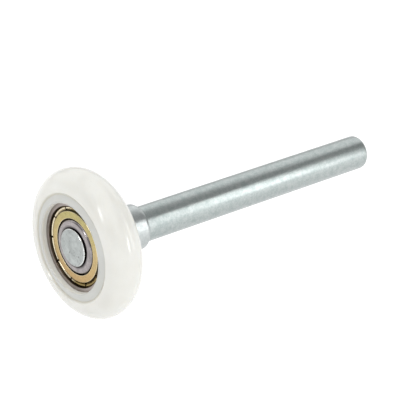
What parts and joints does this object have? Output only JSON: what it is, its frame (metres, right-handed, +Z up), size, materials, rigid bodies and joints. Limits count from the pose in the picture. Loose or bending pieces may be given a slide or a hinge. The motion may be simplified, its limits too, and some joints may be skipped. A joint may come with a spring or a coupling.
{
  "type": "track roller",
  "caption": "Door track roller: a nylon wheel with a full round tread, moulded over a shielded ball bearing, on a long plain zinc-plated spindle with a riveted head and a spacer collar.",
  "frame": {"origin": "centre of the wheel, on the spindle's axis, midway between the two faces of the bearing", "axes": "+Y along the spindle from the wheel to the tip of the stem; +Z up when the track is vertical and the spindle level; +X across the wheel, to the right when the riveted head faces the viewer"},
  "size_m": [0.046, 0.118, 0.046],
  "materials": {
    "zinc_steel": "zinc plated, satin",
    "zinc_collar": "zinc plated, satin",
    "bearing_steel_inner": "ground bearing steel, lightly oiled",
    "bearing_steel_outer": "ground bearing steel, lightly oiled",
    "ball_steel": "polished",
    "cage_steel": "pressed sheet, satin",
    "shield_brass": "pressed sheet, satin brass-coloured finish",
    "nylon": "natural white nylon, satin, slightly translucent"
  },
  "bodies": {
    "spindle": {"spindle": "zinc_steel", "spacer_collar": "zinc_collar", "inner_ring": "bearing_steel_inner"},
    "wheel": {"tyre": "nylon", "outer_ring": "bearing_steel_outer", "shield_front": "shield_brass", "shield_rear": "shield_brass"},
    "cage": {"cage_front": "cage_steel", "cage_rear": "cage_steel", "cage_rivets": "cage_steel"},
    "ball_1": {"ball_1": "ball_steel"},
    "ball_2": {"ball_2": "ball_steel"},
    "ball_3": {"ball_3": "ball_steel"},
    "ball_4": {"ball_4": "ball_steel"},
    "ball_5": {"ball_5": "ball_steel"},
    "ball_6": {"ball_6": "ball_steel"},
    "ball_7": {"ball_7": "ball_steel"},
    "ball_8": {"ball_8": "ball_steel"}
  },
  "joints": [
    {"name": "wheel_spin", "type": "hinge", "parent": "spindle", "child": "wheel", "pos_m": [0, 0, 0], "axis": [0, 1, 0], "continuous": true},
    {"name": "cage_spin", "type": "hinge", "parent": "spindle", "child": "cage", "pos_m": [0, 0, 0], "axis": [0, 1, 0], "continuous": true},
    {"name": "ball_1_spin", "type": "hinge", "parent": "cage", "child": "ball_1", "pos_m": [0.00924, 0, 0.00383], "axis": [0, 1, 0], "continuous": true},
    {"name": "ball_2_spin", "type": "hinge", "parent": "cage", "child": "ball_2", "pos_m": [0.00383, 0, 0.00924], "axis": [0, 1, 0], "continuous": true},
    {"name": "ball_3_spin", "type": "hinge", "parent": "cage", "child": "ball_3", "pos_m": [-0.00383, 0, 0.00924], "axis": [0, 1, 0], "continuous": true},
    {"name": "ball_4_spin", "type": "hinge", "parent": "cage", "child": "ball_4", "pos_m": [-0.00924, 0, 0.00383], "axis": [0, 1, 0], "continuous": true},
    {"name": "ball_5_spin", "type": "hinge", "parent": "cage", "child": "ball_5", "pos_m": [-0.00924, 0, -0.00383], "axis": [0, 1, 0], "continuous": true},
    {"name": "ball_6_spin", "type": "hinge", "parent": "cage", "child": "ball_6", "pos_m": [-0.00383, 0, -0.00924], "axis": [0, 1, 0], "continuous": true},
    {"name": "ball_7_spin", "type": "hinge", "parent": "cage", "child": "ball_7", "pos_m": [0.00383, 0, -0.00924], "axis": [0, 1, 0], "continuous": true},
    {"name": "ball_8_spin", "type": "hinge", "parent": "cage", "child": "ball_8", "pos_m": [0.00924, 0, -0.00383], "axis": [0, 1, 0], "continuous": true}
  ],
  "couplings": [
    {"joint": "cage_spin", "follows": "wheel_spin", "ratio": 0.61905},
    {"joint": "ball_1_spin", "follows": "wheel_spin", "ratio": 1.9809},
    {"joint": "ball_2_spin", "follows": "wheel_spin", "ratio": 1.9809},
    {"joint": "ball_3_spin", "follows": "wheel_spin", "ratio": 1.9809},
    {"joint": "ball_4_spin", "follows": "wheel_spin", "ratio": 1.9809},
    {"joint": "ball_5_spin", "follows": "wheel_spin", "ratio": 1.9809},
    {"joint": "ball_6_spin", "follows": "wheel_spin", "ratio": 1.9809},
    {"joint": "ball_7_spin", "follows": "wheel_spin", "ratio": 1.9809},
    {"joint": "ball_8_spin", "follows": "wheel_spin", "ratio": 1.9809}
  ]
}
